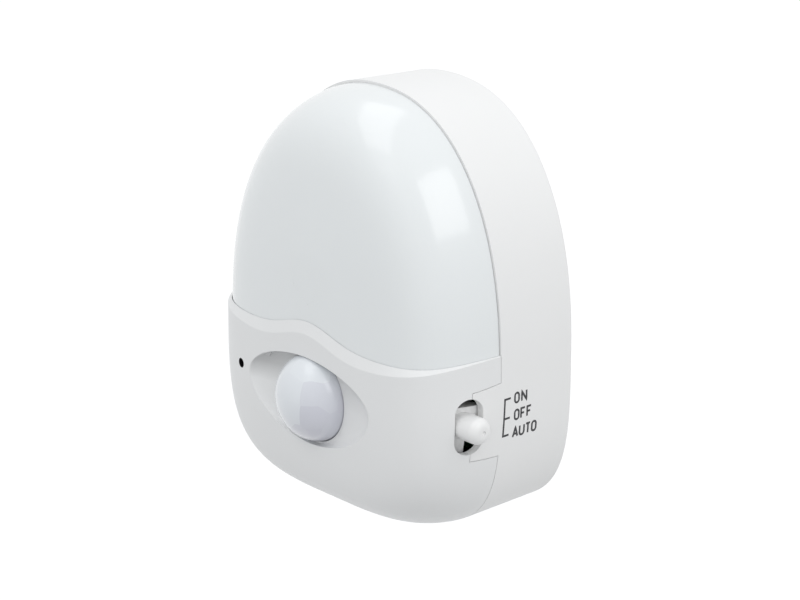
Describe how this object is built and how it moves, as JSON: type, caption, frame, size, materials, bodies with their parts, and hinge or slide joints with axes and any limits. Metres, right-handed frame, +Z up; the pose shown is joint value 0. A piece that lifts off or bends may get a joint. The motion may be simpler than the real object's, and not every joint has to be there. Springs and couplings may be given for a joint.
{
  "type": "plug-in night light",
  "caption": "Egg-shaped plug-in night light with an opal diffuser above a wavy rim, a motion sensor dome, a light sensor hole and a three-position slide switch.",
  "frame": {"origin": "on the wall plane, midway between the two plug blades", "axes": "+Z up along the lamp's tallest direction, +Y into the wall along the blades, +X to the right of a person who faces the lamp"},
  "size_m": [0.0947, 0.0727, 0.11],
  "materials": {
    "white_housing": "fine satin moulding",
    "white_cover": "satin moulding",
    "opal_diffuser": "glossy opal, translucent white",
    "opal_lens": "milky, translucent, faceted inside",
    "white_knob": "satin moulding",
    "black_plastic": "plain moulding",
    "holder_plastic": "plain moulding",
    "green_board": "solder mask over glass laminate",
    "plated_screw": "zinc plated",
    "sensor_can": "plated can",
    "filter_glass": "dark infrared filter",
    "photocell_face": "coated resin face with a wavy track",
    "black_header": "plain moulding",
    "led_yellow": "phosphor gel in a white package",
    "capacitor_box": "potted box",
    "capacitor_sleeve": "shrunk sleeve",
    "black_package": "moulded epoxy",
    "resistor_body": "lacquered body",
    "varistor_blue": "dipped coating",
    "plug_brass": "plated brass strip",
    "switch_can": "folded plated sheet",
    "tinned_leads": "tinned",
    "contact_bronze": "sprung strip"
  },
  "bodies": {
    "housing": {"rear_housing": "white_housing", "front_cover": "white_cover", "diffuser": "opal_diffuser", "fresnel_lens": "opal_lens", "lens_retainer": "black_plastic", "sensor_board": "green_board", "sensor_board_screws": "plated_screw", "pir_sensor": "sensor_can", "pir_window": "filter_glass", "photocell": "photocell_face", "photocell_sleeve": "black_plastic", "sensor_header": "black_header", "main_board": "green_board", "board_screws": "plated_screw", "leds": "led_yellow", "film_capacitor": "capacitor_box", "electrolytic_capacitors": "capacitor_sleeve", "bridge_rectifier": "black_package", "resistors": "resistor_body", "varistor": "varistor_blue", "controller_chip": "black_package", "blade_holder": "holder_plastic", "blade_holder_screws": "plated_screw", "left_blade": "plug_brass", "right_blade": "plug_brass", "switch_board": "green_board", "switch_header": "black_header", "switch_base": "black_plastic", "switch_frame": "switch_can", "switch_terminals": "tinned_leads", "housing_screws": "plated_screw"},
    "switch_slider": {"switch_knob": "white_knob", "switch_actuator": "black_plastic", "switch_wiper": "contact_bronze"}
  },
  "joints": [
    {"name": "switch_slide", "type": "slide", "parent": "housing", "child": "switch_slider", "axis": [0, 0, 1], "range_m": [-0.0036, 0.0036]}
  ]
}
